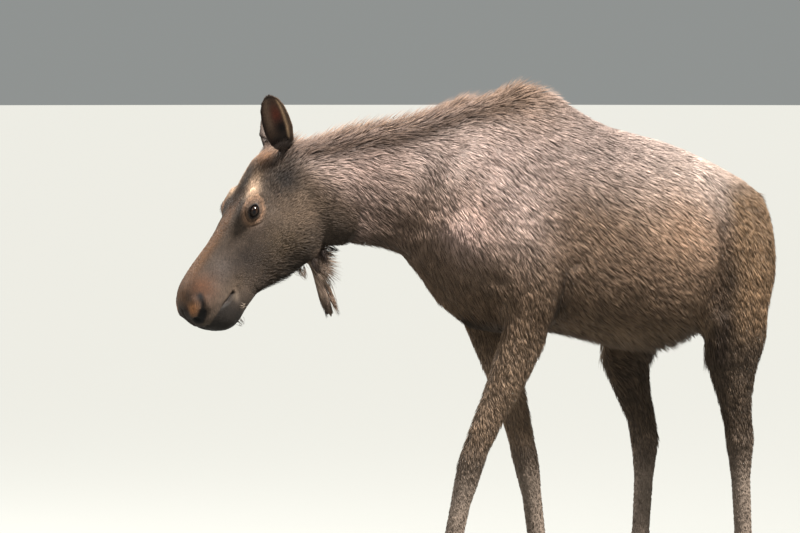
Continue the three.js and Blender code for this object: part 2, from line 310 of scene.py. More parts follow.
def largestShell(mesh):
    bm = bmesh.new()
    bm.from_mesh(mesh)
    seen = set()
    shells = []
    for start in bm.verts:
        if start in seen:
            continue
        stack = [start]
        seen.add(start)
        shell = []
        while stack:
            v = stack.pop()
            shell.append(v)
            for e in v.link_edges:
                w = e.other_vert(v)
                if w not in seen:
                    seen.add(w)
                    stack.append(w)
        shells.append(shell)
    shells.sort(key=len)
    print("skin shells", [len(shell) for shell in shells[-4:]])
    bmesh.ops.delete(bm, geom=[v for shell in shells[:-1] for v in shell], context="VERTS")
    bm.to_mesh(mesh)
    bm.free()
    return mesh


skinMesh = largestShell(closedFlesh())
co, tri, edge = meshArrays(skinMesh)
print("skin closed", len(co))

# Smoothing is strong on the trunk and light where the forms are small.
r = regions(co)
ease = blendUp(r, 0.85, upper=0.22, lower=0.035, head=0.20, face=0.14, bell=0.06, tail=0.1, ear=0.012)
ease = np.where(r["z"] < skinSet["footTop"], 0.01, ease)
co = relax(co, edge, ease, skinSet["rounds"])

# The step behind the angle of the jaw is smoothed away.
throatStep = lineOf([(0.095, -0.705, 1.44), (0.095, -0.7, 1.34), (0.07, -0.685, 1.27), (0.0, -0.67, 1.245)])
co = relax(co, edge, 0.9 * hump((pairGap(co, throatStep), 0, 0.055)), skinSet["throatRounds"])

# Muscles, hollows and folds: a line on the left side, its width and its height.
forms = [
    ([(0.08, -0.02, 1.6), (0.15, -0.12, 1.44), (0.19, -0.24, 1.32)], 0.05, 0.01),
    ([(0.2, -0.29, 1.27), (0.21, -0.2, 1.23)], 0.062, 0.022),
    ([(0.2, -0.26, 1.17), (0.2, -0.16, 1.14)], 0.03, -0.012),
    ([(0.12, -0.2, 1.62), (0.14, -0.33, 1.44), (0.15, -0.38, 1.28), (0.13, -0.36, 1.14)], 0.04, -0.018),
    ([(0.1, 0.08, 1.6), (0.19, 0.11, 1.38), (0.22, 0.11, 1.2)], 0.038, -0.01),
    ([(0.23, 0.09, 1.18), (0.22, 0.08, 1.07), (0.19, 0.07, 0.98)], 0.034, -0.014),
    ([(0.2, 0.01, 1.2), (0.22, 0.02, 1.08)], 0.055, 0.018),
    ([(0.15, 0.62, 1.475), (0.17, 0.66, 1.44)], 0.045, 0.016),
    ([(0.2, 0.53, 1.42), (0.22, 0.55, 1.3)], 0.07, -0.013),
    ([(0.09, -0.74, 1.5), (0.14, -0.45, 1.4)], 0.055, 0.006),
    ([(0.1, -0.6, 1.35), (0.12, -0.42, 1.3)], 0.034, -0.006),
    ([(0.1, -0.64, 1.52), (0.12, -0.42, 1.52)], 0.03, -0.006),
    ([(0.13, 0.82, 1.36), (0.15, 0.84, 1.2)], 0.06, 0.006),
    ([(0.05, 0.86, 1.3), (0.06, 0.86, 1.12)], 0.03, -0.012),
]
oneSided = [
    ([(0.21, 0.63, 1.42), (0.23, 0.655, 1.33), (0.23, 0.665, 1.2), (0.22, 0.645, 1.03)], 0.028, -0.018),
    ([(0.225, 0.675, 1.185), (0.225, 0.68, 1.14)], 0.026, -0.004),
    ([(0.22, 0.59, 1.3), (0.23, 0.6, 1.18)], 0.04, 0.008),
    ([(-0.21, 0.57, 1.42), (-0.23, 0.6, 1.33), (-0.23, 0.52, 1.18), (-0.22, 0.43, 1.03)], 0.028, -0.016),
    ([(0.17, -0.06, 1.0), (0.15, -0.12, 0.86)], 0.03, 0.008),
    ([(0.15, 0.01, 0.98), (0.14, -0.05, 0.86)], 0.014, -0.008),
    ([(-0.15, 0.05, 0.98), (-0.14, 0.06, 0.86)], 0.014, -0.008),
    ([(0.14, 0.79, 0.8), (0.13, 0.79, 0.68)], 0.012, -0.008),
    ([(-0.14, 0.565, 0.78), (-0.13, 0.58, 0.68)], 0.012, -0.008),
]


def mirroredForms(rows, point):
    return [(line, width, height) for points, width, height in rows
            for line in bothSides(lineOf(points, point))]


def raiseForms(co, tri, lines):
    # Moves the surface along its own normals round each line.
    normal = vertexNormals(co, tri)
    total = np.zeros(len(co))
    for line, width, height in lines:
        low = np.min(line, axis=0) - width * 3
        high = np.max(line, axis=0) + width * 3
        near = np.nonzero(((co > low) & (co < high)).all(1))[0]
        if len(near):
            total[near] += height * hump((lineGap(co[near], line), 0, width))
    return co + normal * total[:, None]


single = [(lineOf(points), width, height) for points, width, height in oneSided]
co = raiseForms(co, tri, mirroredForms(forms, bodyPoint) + single)
print("skin formed")

# The coat's own depth, which the skin is let in by.
r = regions(co)
depth = blendUp(r, 0.010, upper=0.006, belly=0.016, throat=0.014, mane=0.032, head=0.006, face=0.0035,
                jaw=0.010, muzzle=0.0015, bell=0.013, tail=0.008, lower=0.003, ear=0.0009)
depth = np.where(r["z"] < skinSet["hairline"], skinSet["footDepth"], depth)
depth = np.where(r["bell"] > 0.5, depth * smooth(r["z"], 1.02, 1.16), depth)
normal = vertexNormals(co, tri)
for _ in range(skinSet["depthSteps"]):
    co = co - normal * depth[:, None] / skinSet["depthSteps"]
    normal = vertexNormals(co, tri)
co = relax(co, edge, np.minimum(ease, 0.5), 6)
setPoints(skinMesh, co)

# The head's detail needs a finer mesh round the eyes, nostrils and lips.
fineSet = {"lids": (0.050, 0.034), "muzzleFrom": 0.42, "muzzleFront": -0.9}
bm = bmesh.new()
bm.from_mesh(skinMesh)
for reach in (*fineSet["lids"], 0):
    points = np.array([v.co for v in bm.verts])
    if reach:
        close = np.zeros(len(points), bool)
        for side in (1, -1):
            lids = headPoint(side * place["lids"][0], *place["lids"][1:])
            close |= np.linalg.norm(points - lids, axis=1) < reach
    else:
        close = headCoords(points)[0] > fineSet["muzzleFrom"]
        close &= points[:, 1] - shift < fineSet["muzzleFront"]
    bm.verts.ensure_lookup_table()
    edges = [e for e in bm.edges if close[e.verts[0].index] and close[e.verts[1].index]]
    bmesh.ops.subdivide_edges(bm, edges=edges, cuts=1, use_grid_fill=True)
    bm.verts.index_update()
bmesh.ops.triangulate(bm, faces=[f for f in bm.faces if len(f.verts) > 4])
bm.to_mesh(skinMesh)
bm.free()
co, tri, edge = meshArrays(skinMesh)
print("head refined", len(co), len(tri))

headForms = [
    ([(0.09, 0.235, 0.06), (0.076, 0.31, 0.04), (0.07, 0.39, 0.03)], 0.013, 0.0045),
    ([(0.095, 0.2, -0.06), (0.092, 0.17, -0.11)], 0.055, 0.006),
    ([(0.085, 0.12, 0.075), (0.088, 0.15, 0.06)], 0.026, -0.007),
    ([(0.074, 0.15, 0.122), (0.088, 0.18, 0.124), (0.088, 0.215, 0.118)], 0.012, 0.006),
    ([(0.06, 0.3, 0.095), (0.055, 0.37, 0.09)], 0.026, -0.005),
    ([(0.03, 0.27, 0.14), (0.034, 0.42, 0.15)], 0.016, 0.002),
    ([(0.07, 0.33, -0.03), (0.066, 0.4, -0.02)], 0.03, -0.004),
    ([(0.062, 0.538, 0.117), (0.057, 0.56, 0.104), (0.046, 0.578, 0.09)], 0.015, 0.008),
    ([(0.078, 0.51, 0.084), (0.073, 0.54, 0.062), (0.06, 0.562, 0.048)], 0.011, 0.004),
    ([(0.068, 0.47, 0.07), (0.07, 0.5, 0.06)], 0.022, 0.003),
    ([(0.058, 0.47, -0.02), (0.05, 0.53, -0.03)], 0.016, 0.004),
    ([(0.064, 0.425, 0.012), (0.07, 0.44, -0.006)], 0.008, -0.003),
    ([(0.0, 0.1, 0.15), (0.0, 0.2, 0.14)], 0.022, -0.003),
    ([(0.0, 0.565, 0.105), (0.0, 0.586, 0.05)], 0.006, -0.003),
]
co = raiseForms(co, tri, mirroredForms(headForms, headPoint))

# Nostrils are deep commas, and the mouth is a groove that turns round under the upper lip.
nostrilLine = [(0.078, 0.515, 0.113), (0.078, 0.530, 0.093), (0.071, 0.556, 0.072), (0.058, 0.577, 0.062),
               (0.046, 0.584, 0.068)]
mouthLine = [(0.066, 0.446, 0.014), (0.069, 0.473, 0.018), (0.067, 0.510, 0.033), (0.058, 0.543, 0.034),
             (0.044, 0.568, 0.03), (0.0, 0.582, 0.028)]


def sideGap(p, points):
    return pairGap(p, lineOf(points, headPoint))


def inward(points, x, s, t):
    # The same line moved into the head, so that a groove's floor is near a line too.
    return [(max(a - x, 0), b + s, c + t) for a, b, c in points]


def nostrilGap(p):
    return np.minimum(sideGap(p, nostrilLine), sideGap(p, inward(nostrilLine, 0.014, -0.004, -0.006)))


def openingGap(p):
    low = nostrilLine[2:]
    return np.minimum(sideGap(p, low), np.minimum(sideGap(p, inward(low, 0.010, -0.008, -0.002)),
                                                  sideGap(p, inward(low, 0.018, -0.018, -0.004))))


def mouthGap(p):
    return np.minimum(sideGap(p, mouthLine), sideGap(p, inward(mouthLine, 0.009, -0.002, 0.0)))


co = relax(co, edge, np.where(sideGap(co, nostrilLine) < 0.03, 0.4, 0.0), 3)
for points, width, deep in ((nostrilLine, 0.0066, 0.017), (nostrilLine[2:], 0.0115, 0.021),
                            (mouthLine, 0.006, 0.009)):
    gap = sideGap(co, points)
    co = co - vertexNormals(co, tri) * (deep * np.exp(-(gap / width) ** 2.4))[:, None]
    co = relax(co, edge, np.where(gap < width * 2.5, 0.25, 0.0), 2)

# Lids lie over the ball of the eye and leave an almond-shaped opening.
lidSet = {"halfLong": 0.0198, "halfHigh": 0.0142, "over": 0.0224, "behind": 0.0150, "shoulder": 0.0165,
          "slope": 0.62}


def eyeAxes(side):
    centre = headPoint(side * place["eye"][0], *place["eye"][1:])
    origin = headPoint(0, 0, 0)
    along = headPoint(0, 1, 0) - origin
    above = headPoint(0, 0, 1) - origin
    out = unit(np.array([side * 0.93, 0, 0]) + along * 0.26 + above * 0.20)
    level = along * 0.97 - above * 0.24
    level = unit(level - out * (level @ out))
    high = np.cross(level, out)
    return centre, out, level, (high if high @ above > 0 else -high)


def lidPlace(p, side):
    # Almond distance (1 at the edge of the opening), the flat offsets and the depth towards the outside.
    centre, out, level, high = eyeAxes(side)
    rel = p - centre
    across, rise, deep = rel @ level, rel @ high, rel @ out
    tall = np.where(rise > 0, lidSet["halfHigh"], lidSet["halfHigh"] * 0.92)
    q = ((np.abs(across) / lidSet["halfLong"]) ** 1.7 + (np.abs(rise) / tall) ** 1.7) ** (1 / 1.7)
    return np.where((deep > -0.012) & (np.linalg.norm(rel, axis=1) < 0.09), q, 9.0), across, rise, deep


def lidGap(p):
    return np.minimum(lidPlace(p, 1)[0], lidPlace(p, -1)[0])


for side in (1, -1):
    centre, out, level, high = eyeAxes(side)
    q, across, rise, deep = lidPlace(co, side)
    flat = np.hypot(across, rise)
    over = lidSet["over"] + 0.0010 * hump((q, 1.2, 0.16))
    kept = np.minimum(flat, lidSet["shoulder"])
    ball = np.sqrt(np.maximum(over ** 2 - kept ** 2, 0)) - np.maximum(flat - kept, 0) * lidSet["slope"]
    inner = np.sqrt(np.maximum(lidSet["behind"] ** 2 - np.minimum(flat, 0.0145) ** 2, 0))
    wall = smooth(q, 0.93, 1.06)
    target = inner * (1 - wall) + ball * wall
    hold = 1 - smooth(q, 1.35, 2.7)
    made = deep * (1 - hold) + target * hold
    ring = np.hypot(across / 1.05, rise)
    upper = smooth(rise, -0.004, 0.006)
    made += 0.0020 * hump((q, 1.45, 0.12)) * upper - 0.0034 * hump((q, 1.78, 0.12)) * upper
    for height, at, wide in ((-0.0016, 0.0270, 0.0022), (0.0022, 0.0360, 0.0050), (-0.0028, 0.0450, 0.0034)):
        made += height * hump((ring, at, wide)) * (1 - upper)
    move = np.where(q < 4.2, made - deep, 0)
    co = co + out * move[:, None]
near = lidGap(co)
co = relax(co, edge, np.where((near > 0.85) & (near < 3.4), 0.2, 0.0), 2)
setPoints(skinMesh, co)
print("head shaped")


def thinned(mesh, name, wanted, keep):
    # Lowers the triangle count, least where keep is high, and returns the new mesh.
    obj = newObject(name, mesh)
    group = obj.vertex_groups.new(name="thin")
    levels = np.clip(np.round((1 - keep) * 20), 0, 20).astype(int)
    for level in range(1, 21):
        which = np.nonzero(levels == level)[0]
        if len(which):
            group.add(which.tolist(), level / 20, "REPLACE")
    have = sum(len(f.vertices) - 2 for f in mesh.polygons)
    if have > wanted:
        mod = obj.modifiers.new("thin", "DECIMATE")
        mod.ratio = wanted / have
        mod.vertex_group = "thin"
        mod.use_collapse_triangulate = True
    return finished(obj)


r = regions(co)
keep = blendUp(r, 0.0, lower=0.35, head=0.55, face=0.72, muzzle=0.86, ear=0.8)
keep = np.where(lidGap(co) < 3.4, 0.97, keep)
skinMesh = thinned(skinMesh, "thinning", skinSet["triangles"], keep)
skinMesh.name = "skin"
skin = newObject("skin", skinMesh)
bpy.context.view_layer.objects.active = skin
shadeSmooth(skinMesh)
print("skin thinned", len(skinMesh.polygons))

bpy.ops.object.mode_set(mode="EDIT")
bpy.ops.mesh.select_all(action="SELECT")
skinMesh.uv_layers.new(name="OFBake")
bpy.ops.uv.smart_project(angle_limit=math.radians(66), island_margin=0.0008)
bpy.ops.object.mode_set(mode="OBJECT")
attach(skin, "root")
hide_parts(*fleshNames)
print("skin unwrapped")


# Markings and painted light: colours written 0-255, shared by the skin and the coat. Besides the coat's own
# colours they hold painted highlights on the upper body and painted shade in creases, hollows, openings and
# under the body.
def linear(rgb):
    c = np.asarray(rgb, float) / 255
    return np.where(c <= 0.04045, c / 12.92, ((c + 0.055) / 1.055) ** 2.4)


def roundMask(values, at, reach):
    # 1 at a place, fading over the reach.
    return np.exp(-sum((value - middle) ** 2 for value, middle in zip(values, at)) / reach ** 2)


def markingsAndPaintedLight(p, n):
    r = regions(p)
    x, y, z, s, t = (r[word] for word in "xyzst")
    onHead, face, muzzle, mane, ear = (r[word] for word in ("head", "face", "muzzle", "mane", "ear"))
    hue = np.tile(linear((110, 90, 74)), (len(p), 1))

    def lay(mask, rgb):
        nonlocal hue
        k = np.clip(mask, 0, 1)[:, None]
        hue = hue * (1 - k) + linear(rgb) * k

    def spot(at, reach, amount, rgb):
        lay(amount * roundMask((x, y, z), at, reach), rgb)

    def headSpot(at, reach, amount, rgb, mask=1):
        lay(mask * roundMask((x, s, t), at, reach) * amount, rgb)

    body = 1 - onHead
    # The upper body, rump, withers and shoulder blade are made lighter: partly the coat's paler colour,
    # partly a painted highlight of the sun on the surfaces that face it.
    lay(body * smooth(z, 1.30, 1.54) * 0.9, (148, 131, 123))
    lay(body * hump((y, 0.60, 0.24), (z, 1.43, 0.13)), (182, 165, 155))
    lay(body * hump((y, -0.10, 0.13), (z, 1.42, 0.20)) * 0.9, (170, 150, 141))
    spot((0.20, -0.28, 1.31), 0.105, 0.95, (172, 147, 136))
    spot((0.22, 0.50, 1.27), 0.15, 0.8, (160, 131, 108))
    lay(body * (1 - smooth(z, 0.98, 1.30)) * 0.9, (94, 76, 60))
    lay(body * hump((y, -0.58, 0.15)) * (1 - mane) * 0.85, (136, 116, 107))
    lay(r["throat"] * 0.95, (54, 43, 33))
    spot((0.10, -0.42, 1.12), 0.12, 0.85, (62, 50, 39))
    spot((0.10, -0.52, 1.30), 0.10, 0.6, (80, 64, 52))
    lay(smooth(y, 0.64, 0.72) * (z > 0.9) * (1 - smooth(z, 1.36, 1.46)), (122, 98, 75))
    spot((0.10, 0.80, 1.40), 0.12, 0.6, (126, 104, 84))
    lay(r["belly"], (126, 105, 83))
    # Dark along the underside between the legs: partly the belly's dark hair, partly painted shade under the
    # body.
    lay((1 - smooth(x, 0.02, 0.11)) * (z < 1.02) * (z > 0.7), (46, 38, 31))
    lay(r["upper"], (110, 91, 74))
    # The upper hind legs are darkened as painted shade under the flank.
    lay(r["upper"] * smooth(y, 0.3, 0.5) * 0.8, (58, 48, 39))
    lay(r["lower"], (108, 95, 84))
    lay((1 - smooth(z, 0.13, 0.24)) * 0.8, (62, 52, 44))
    lay(hump((z, 0.55, 0.06)) * 0.5, (76, 65, 56))
    maneSide = hump((lineGap(p, crest), 0.085, 0.03)) * (y < 0.0) * body * (1 - ear)
    lay(maneSide * 0.9, (52, 41, 34))
    lay(hump((y, -0.02, 0.17), (z, 1.70, 0.09)) * 0.8, (122, 101, 86))
    lay(mane * (1 - smooth(y, 0.02, 0.12)), (72, 55, 43))
    # Dark lines in the creases behind the elbow, between belly and thigh, in the flank hollow and in the
    # grooves round the shoulder: painted shade in the folds.
    for line, reach, amount, rgb in (
            ([(0.22, 0.075, 1.16), (0.21, 0.07, 1.05), (0.18, 0.06, 0.97)], 0.028, 0.95, (28, 22, 18)),
            ([(0.2, 0.065, 1.06), (0.16, 0.055, 0.98), (0.12, 0.05, 0.955)], 0.034, 0.9, (32, 26, 21)),
            ([(0.21, 0.655, 1.07), (0.19, 0.655, 0.96), (0.16, 0.66, 0.9)], 0.042, 0.85, (38, 30, 25)),
            ([(0.22, 0.672, 1.185), (0.212, 0.682, 1.12)], 0.028, 1.0, (24, 19, 16)),
            ([(0.22, 0.63, 1.42), (0.23, 0.655, 1.2), (0.22, 0.635, 1.03)], 0.028, 0.75, (62, 50, 41)),
            ([(0.14, -0.34, 1.42), (0.15, -0.385, 1.28), (0.13, -0.37, 1.14)], 0.022, 0.45, (84, 69, 56)),
            ([(0.2, -0.26, 1.17), (0.2, -0.14, 1.14)], 0.024, 0.45, (86, 70, 56))):
        lay(amount * hump((pairGap(p, lineOf(line)), 0, reach)), rgb)
    lay(r["tail"], (96, 76, 58))
    lay(onHead, (72, 60, 50))
    headSpot((0.09, 0.10, -0.02), 0.09, 0.95, (108, 90, 74), onHead)
    for inS, inT, amount, rgb in (((0.22, 0.07), (-0.05, 0.07), 0.9, (88, 73, 57)),
                                  ((0.34, 0.06), (0.03, 0.05), 0.8, (50, 42, 37)),
                                  # The greyer patch on the side of the nose is partly the hair's grey, partly
                                  # a painted sheen.
                                  ((0.4, 0.04), (0.08, 0.04), 0.5, (74, 66, 62)),
                                  ((0.43, 0.05), (0.02, 0.03), 0.6, (84, 69, 55))):
        lay(face * hump((s, *inS), (t, *inT)) * amount, rgb)
    lay(face * (1 - smooth(t, -0.13, -0.05)) * 0.8, (46, 38, 30))
    lay(face * (1 - smooth(x, 0.018, 0.045)) * smooth(t, 0.10, 0.14) * 0.85, (94, 65, 41))
    headSpot((0.055, 0.486, 0.110), 0.046, 0.95, (76, 45, 23))
    # The pale rust on the lobe in front of the nostril is partly its own colour, partly a painted highlight
    # on the bulge.
    headSpot((0.054, 0.560, 0.106), 0.021, 0.9, (150, 102, 66))
    lay(muzzle * smooth(s, 0.535, 0.570) * (1 - smooth(x, 0.028, 0.050)) * 0.92, (38, 27, 20))
    lip = np.interp(s, [0.44, 0.473, 0.510, 0.543, 0.570], [0.010, 0.016, 0.033, 0.034, 0.029])
    lay(muzzle * (1 - smooth(t - lip, -0.006, 0.003)), (30, 24, 19))
    headSpot((0.066, 0.448, -0.002), 0.011, 0.35, (132, 116, 100))
    hue = hue * (1 - 0.42 * onHead)[:, None]
    for at, reach, rgb in (
            ((0.066, 0.158, 0.126), 0.02, (180, 152, 126)), ((0.052, 0.128, 0.137), 0.022, (190, 162, 136)),
            ((0.044, 0.096, 0.144), 0.02, (172, 144, 118)), ((0.036, 0.15, 0.142), 0.014, (122, 98, 78)),
            ((0.058, 0.14, 0.134), 0.0075, (58, 42, 33)), ((0.047, 0.112, 0.142), 0.0065, (62, 45, 35)),
            ((0.07, 0.166, 0.124), 0.007, (64, 46, 34)), ((0.04, 0.084, 0.146), 0.0055, (66, 48, 38))):
        headSpot(at, reach, 0.9, rgb, onHead)
    headSpot((0.040, 0.020, 0.150), 0.034, 1, (168, 112, 66), onHead)
    # A near-black patch on the ear root: painted shade, so that the ear's opening seems to run down to the
    # base.
    headSpot((0.088, 0.064, 0.058), 0.060, 0.97, (22, 18, 16))
    headSpot((0.095, 0.120, 0.060), 0.013, 0.85, (44, 35, 30))
    headSpot((0.098, 0.235, 0.066), 0.028, 0.6, (62, 50, 42))
    rim = lidGap(p)
    lay(hump((rim, 2.1, 0.6)) * 0.5, (128, 98, 76))
    # A dark line along the upper lid's fold: painted shade in the fold.
    lay(hump((rim, 1.78, 0.12)) * 0.7, (46, 35, 29))
    lay(1 - smooth(rim, 1.16, 1.5), (26, 20, 17))
    # A dark halo above and behind the lobe: painted shade.
    headSpot((0.072, 0.518, 0.116), 0.022, 0.65, (36, 25, 19))
    # The nostrils, their openings and the mouth slit are painted near black: painted shade in the grooves.
    lay(1 - smooth(nostrilGap(p), 0.0015, 0.0150), (14, 10, 9))
    lay(1 - smooth(openingGap(p), 0.0065, 0.0175), (8, 6, 5))
    lay((1 - smooth(mouthGap(p), 0.0015, 0.0085)) * 0.9, (22, 17, 14))
    facing = np.zeros(len(p))
    for side in (1, -1):
        base, along, opening = earFrame(side)
        facing = np.where(p[:, 0] * side > 0, n @ opening, facing)
    inner = ear * smooth(facing, 0.05, 0.4)
    lay(ear, (78, 67, 60))
    lay(ear * hump((facing, -0.05, 0.22)) * 0.8, (40, 31, 26))
    at, across = r["earAt"], r["earAcross"]
    lay(inner, (62, 47, 38))
    lay(inner * hump((across, -0.45, 0.25)) * smooth(at, 0.25, 0.5) * 0.7, (96, 78, 64))
    lay(inner * hump((at, 0.60, 0.16), (across, 0.12, 0.36)) * 0.9, (88, 40, 27))
    # A near-black patch inside the ear and darker paint at its base: painted shade in the ear's hollow.
    lay(inner * hump((at, 0.36, 0.17), (across, 0.25, 0.48)), (12, 9, 8))
    lay(inner * (1 - smooth(at, 0.14, 0.30)), (20, 15, 13))
    lay(inner * smooth(across, 0.66, 0.80), (84, 68, 56))
    fringe = hump((across, 0.60, 0.09)) * smooth(at, 0.14, 0.22) * (1 - smooth(at, 0.80, 0.92))
    lay(inner * fringe * 0.9, (158, 130, 102))
    lay(inner * (1 - smooth(across, -0.92, -0.72)) * 0.9, (34, 26, 21))
    lay(ear * smooth(at, 0.88, 0.98), (38, 29, 24))
    # Near-black patches at the ear's base: painted shade that carries the opening down.
    headSpot((0.106, 0.006, 0.096), 0.027, 1, (22, 17, 15))
    headSpot((0.103, -0.020, 0.121), 0.030, 1, (22, 17, 15))
    lay(r["bell"], (108, 92, 80))
    return hue


def setHue(mesh, hue, name="hue"):
    attr = mesh.attributes.new(name, "FLOAT_COLOR", "POINT")
    flat = np.ones((len(hue), 4), np.float32)
    flat[:, :3] = hue
    attr.data.foreach_set("color", flat.ravel())


co, tri, edge = meshArrays(skinMesh)
skinHue = markingsAndPaintedLight(co, vertexNormals(co, tri))
r = regions(co)
wet = np.clip(hump((nostrilGap(co), 0, 0.012)) * 0.2 + (1 - smooth(lidGap(co), 1.05, 1.3)), 0, 1)
# The skin under the coat is darkened as painted shade between the tufts, least on the face, muzzle and ears.
coatShade = blendUp(r, 0.42, head=0.7, face=0.9, muzzle=1.0, lower=0.7, ear=0.95)
setHue(skinMesh, skinHue * coatShade[:, None])
wetAttr = skinMesh.attributes.new("wet", "FLOAT", "POINT")
wetAttr.data.foreach_set("value", wet.astype(np.float32))

# Eyes: finer balls with a raised cornea, an oval pupil and a dark iris.
eyeSet = {"radius": 0.0203, "cornea": 0.0012, "iris": (0.0120, 0.0120), "irisEdge": (0.0125, 0.0125),
          "pupil": (0.0070, 0.0046)}
for side, word in ((1, "left"), (-1, "right")):
    centre, out, level, high = eyeAxes(side)
    bm = bmesh.new()
    bmesh.ops.create_uvsphere(bm, u_segments=64, v_segments=44, radius=eyeSet["radius"])
    points = np.array([v.co for v in bm.verts])
    ways = unitRows(points)
    near = np.arccos(np.clip(ways @ out, -1, 1))
    points = ways * (eyeSet["radius"] + eyeSet["cornea"] * (1 - smooth(near, 0.35, 0.85)))[:, None] + centre
    for v, q in zip(bm.verts, points):
        v.co = q
    mesh = meshFrom(bm, "eyeBall_" + word)
    shadeSmooth(mesh)
    eyeBall = newObject("eyeBall_" + word, mesh)
    gaze = mesh.attributes.new("gaze", "FLOAT_VECTOR", "POINT")
    rel = np.stack([ways @ level, ways @ high, ways @ out], 1) * eyeSet["radius"]
    gaze.data.foreach_set("vector", rel.astype(np.float32).ravel())
    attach(eyeBall, "root")
    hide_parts("eye_" + word)
    eyeBall["looks"] = "eye"
print("eyes made")

# Hooves and dewclaws: the horn rounded over, with the soles kept level.
hornSet = {"voxel": 0.0028, "rounds": 5, "ease": 0.5, "sole": 0.0016}
for word in ("hoof", "dewclaw"):
    names = [n for n in frame["nodes"] if n.startswith(word)]
    bm = bmesh.new()
    for name in names:
        bm.from_mesh(frame["nodes"][name].data)
    mesh = remeshed(bm, word + "Source", hornSet["voxel"])
    hornCo, hornTri, hornEdge = meshArrays(mesh)
    sole = hornCo[:, 2] < hornSet["sole"]
    hornCo = relax(hornCo, hornEdge, np.where(sole, 0.0, hornSet["ease"]), hornSet["rounds"])
    hornCo[sole, 2] = 0.0
    hornCo[:, 2] = np.maximum(hornCo[:, 2], 0)
    setPoints(mesh, hornCo)
    mesh.name = word + "Horn"
    shadeSmooth(mesh)
    horn = newObject(word + "Horn", mesh)
    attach(horn, "root")
    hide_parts(*names)
    horn["looks"] = "hoof"
print("horn made")

# The lie of the coat on the left side. A row holds the place where a hair grows and the way it points.
bodyLie = [
    (0.0, -0.06, 1.73, 0.0, 0.9, 0.1), (0.1, -0.06, 1.66, 0.1, 0.8, -0.5),
    (0.0, 0.35, 1.58, 0.05, 1.0, -0.15), (0.12, 0.35, 1.52, 0.2, 0.85, -0.45),
    (0.22, 0.35, 1.3, 0.0, 0.75, -0.62), (0.23, 0.35, 1.08, 0.0, 0.7, -0.62),
    (0.22, 0.15, 1.3, 0.0, 0.7, -0.68), (0.22, 0.55, 1.25, 0.0, 0.75, -0.6),
    (0.12, 0.35, 0.92, -0.2, 0.85, -0.3), (0.0, 0.35, 0.88, 0.0, 1.0, -0.1),
    (0.0, 0.75, 1.48, 0.1, 0.8, -0.55), (0.12, 0.72, 1.4, 0.1, 0.5, -0.85), (0.2, 0.7, 1.2, 0.0, 0.35, -0.95),
    (0.05, 0.88, 1.2, 0.0, 0.1, -1.0), (0.16, -0.12, 1.45, 0.1, 0.55, -0.8),
    (0.2, -0.2, 1.25, 0.0, 0.5, -0.85), (0.2, -0.05, 1.1, 0.0, 0.4, -0.9),
    (0.0, -0.36, 1.05, 0.0, 0.3, -0.95), (0.1, -0.4, 1.25, 0.1, 0.2, -0.97),
    (0.12, -0.35, 1.45, 0.1, 0.45, -0.85), (0.1, -0.6, 1.45, 0.0, 0.72, -0.65),
    (0.1, -0.6, 1.32, 0.0, 0.78, -0.58), (0.0, -0.6, 1.24, 0.0, 0.8, -0.5), (0.0, -0.6, 1.6, 0.05, 0.9, 0.35),
    (0.0, -0.3, 1.66, 0.05, 0.9, 0.4), (0.07, -0.45, 1.58, 0.2, 0.85, -0.15),
    (0.0, -0.72, 1.58, 0.05, 0.9, 0.3), (0.09, -0.74, 1.42, 0.0, 0.85, -0.45),
    (0.15, -0.05, 0.95, 0.0, 0.25, -1.0), (0.14, -0.03, 0.6, 0.0, 0.05, -1.0),
    (0.12, -0.3, 0.3, 0.0, 0.15, -1.0), (0.1, 0.1, 0.3, 0.0, 0.1, -1.0), (0.14, 0.75, 0.95, 0.0, 0.35, -0.95),
    (0.13, 0.75, 0.6, 0.0, 0.1, -1.0), (0.13, 0.58, 0.7, 0.0, 0.2, -1.0), (0.12, 0.77, 0.3, 0.0, 0.05, -1.0),
    (0.12, 0.53, 0.3, 0.0, 0.05, -1.0), (0.0, -0.69, 1.14, 0.0, 0.25, -1.0),
    (0.0, -0.65, 1.03, 0.0, 0.2, -1.0), (0.0, 0.93, 1.35, 0.0, 0.1, -1.0),
]
headLie = [
    (0.0, 0.45, 0.15, 0.0, -1.0, 0.0), (0.03, 0.25, 0.14, 0.1, -1.0, 0.0), (0.0, 0.08, 0.14, 0.0, -1.0, 0.1),
    (0.09, 0.28, 0.02, 0.0, -0.95, -0.3), (0.09, 0.18, -0.08, 0.0, -0.85, -0.55),
    (0.08, 0.12, -0.15, 0.0, -0.6, -0.8), (0.08, 0.1, 0.0, 0.0, -0.98, -0.25),
    (0.09, 0.05, 0.06, 0.0, -1.0, -0.15), (0.03, 0.3, -0.13, 0.0, -0.75, -0.65),
    (0.03, 0.2, -0.19, 0.0, -0.65, -0.75), (0.07, 0.5, 0.08, 0.0, -0.95, 0.1),
    (0.07, 0.4, 0.03, 0.0, -0.97, -0.2), (0.0, 0.58, 0.07, 0.0, -0.3, 1.0),
    (0.03, 0.5, -0.05, 0.0, -0.6, -0.75), (0.06, 0.47, 0.02, 0.0, -0.9, -0.3),
    (0.09, 0.14, 0.09, 0.0, -1.0, 0.1), (0.095, 0.24, 0.09, 0.0, -0.8, 0.2),
]
headMiddle = headPoint(0, 0, 0)
headAxes = np.stack([np.array([1.0, 0, 0]), headPoint(0, 1, 0) - headMiddle, headPoint(0, 0, 1) - headMiddle])
liePoints, lieWays = [], []
for rows, point, axes in ((bodyLie, bodyPoint, np.eye(3)), (headLie, headPoint, headAxes)):
    for x, y, z, *way in rows:
        for side in (1, -1):
            liePoints.append(point(x * side, y, z))
            lieWays.append(np.array([way[0] * side, *way[1:]]) @ axes)
liePoints, lieWays = np.array(liePoints), unitRows(np.array(lieWays))


